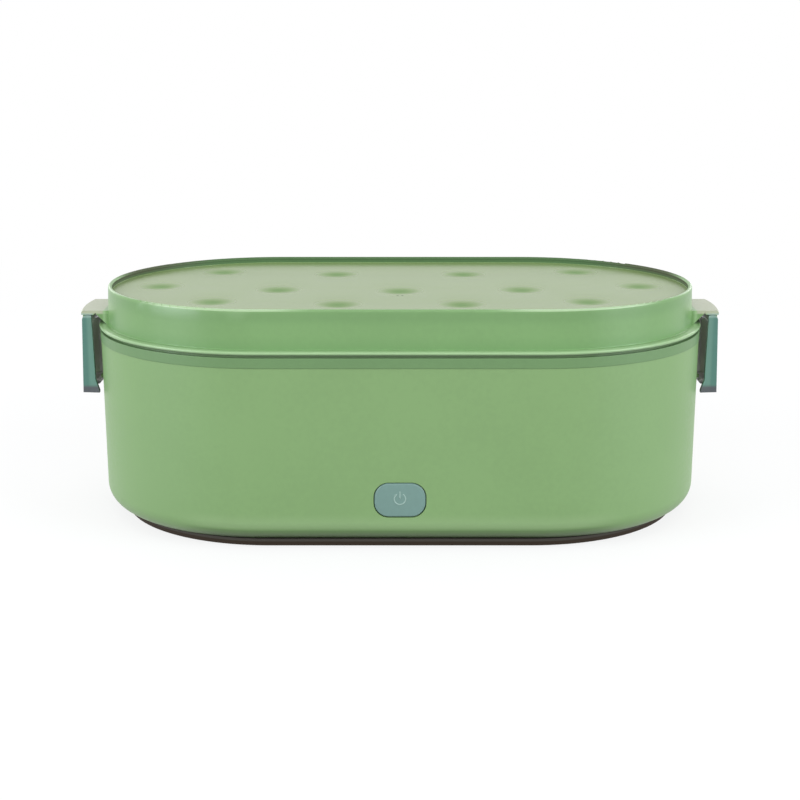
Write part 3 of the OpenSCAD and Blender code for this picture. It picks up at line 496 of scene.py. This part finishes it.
def add_floor():
    """White floor that shows its own shading a little, so the object's shadow stays."""
    mesh = bpy.data.meshes.new("floor")
    bm = bmesh.new()
    bmesh.ops.create_grid(bm, x_segments=1, y_segments=1, size=12)
    bm.to_mesh(mesh)
    bm.free()
    floor = bpy.data.objects.new("floor", mesh)
    bpy.context.collection.objects.link(floor)
    s = Shader("floor")
    white = s.bsdf
    path = s.node("ShaderNodeLightPath")
    s.link(s.mix(path.outputs["Is Diffuse Ray"], (0.95, 0.95, 0.95, 1), (0.12, 0.12, 0.12, 1)),
           white.inputs["Base Color"])
    white.inputs["Roughness"].default_value = 0.9
    white.inputs["Specular IOR Level"].default_value = 0.1
    glow = s.node("ShaderNodeEmission")
    glow.inputs["Color"].default_value = (1, 1, 1, 1)
    seen = s.math("MAXIMUM", path.outputs["Is Camera Ray"],
                  s.math("MAXIMUM", path.outputs["Is Glossy Ray"], path.outputs["Is Transmission Ray"]))
    part = s.node("ShaderNodeMixShader")
    x, y, _ = s.xyz()
    away = s.math("SQRT", s.math("ADD", s.math("MULTIPLY", x, x), s.math("MULTIPLY", y, y)))
    s.link(s.math("MULTIPLY", seen, s.ramp(away, 0.25, 0.7, 0.8, 1.0)), part.inputs[0])
    s.link(white.outputs[0], part.inputs[1])
    s.link(glow.outputs[0], part.inputs[2])
    s.link(part.outputs[0], s.tree.nodes["Material Output"].inputs["Surface"])
    mesh.materials.append(s.mat)


def add_world(level):
    world = bpy.data.worlds.new("studio")
    bpy.context.scene.world = world
    world.use_nodes = True
    tree = world.node_tree
    tree.nodes.clear()
    path = tree.nodes.new("ShaderNodeLightPath")
    top = [path.outputs[n] for n in ("Is Camera Ray", "Is Glossy Ray", "Is Transmission Ray")]
    for _ in range(2):
        m = tree.nodes.new("ShaderNodeMath")
        m.operation = "MAXIMUM"
        tree.links.new(top.pop(), m.inputs[0])
        tree.links.new(top.pop(), m.inputs[1])
        top.append(m.outputs[0])
    plain, light = tree.nodes.new("ShaderNodeBackground"), tree.nodes.new("ShaderNodeBackground")
    light.inputs["Strength"].default_value = level
    mix = tree.nodes.new("ShaderNodeMixShader")
    tree.links.new(top[0], mix.inputs[0])
    tree.links.new(light.outputs[0], mix.inputs[1])
    tree.links.new(plain.outputs[0], mix.inputs[2])
    for n in (plain, light):
        n.inputs["Color"].default_value = (1, 1, 1, 1)
    tree.links.new(mix.outputs[0], tree.nodes.new("ShaderNodeOutputWorld").inputs[0])


def add_lamp(name, place, size, watts, aim=(0, 0, 0.04), colour=(1, 1, 1)):
    data = bpy.data.lights.new(name, "AREA")
    data.shape = "RECTANGLE"
    data.size, data.size_y = size
    data.energy = watts
    data.color = colour
    lamp = bpy.data.objects.new(name, data)
    lamp.location = place
    lamp.rotation_euler = (Vector(aim) - Vector(place)).to_track_quat("-Z", "Y").to_euler()
    bpy.context.collection.objects.link(lamp)


add_floor()
add_world(0.5)
add_lamp("softbox_left", (-1.25, -0.6, 0.45), (0.9, 0.8), 15, colour=(0.93, 1, 1.06))
add_lamp("softbox_right", (1.25, -0.6, 0.45), (0.9, 0.8), 15, colour=(0.93, 1, 1.06))
add_lamp("softbox_top", (0, 0.1, 1.4), (1.2, 0.9), 3.5)
for side in (-1, 1):
    add_lamp(f"softbox_back_{side}", (side * 0.9, 1.5, 0.5), (0.8, 0.7), 3.5)
add_lamp("softbox_front", (0, -1.7, 0.6), (1.6, 0.7), 8)
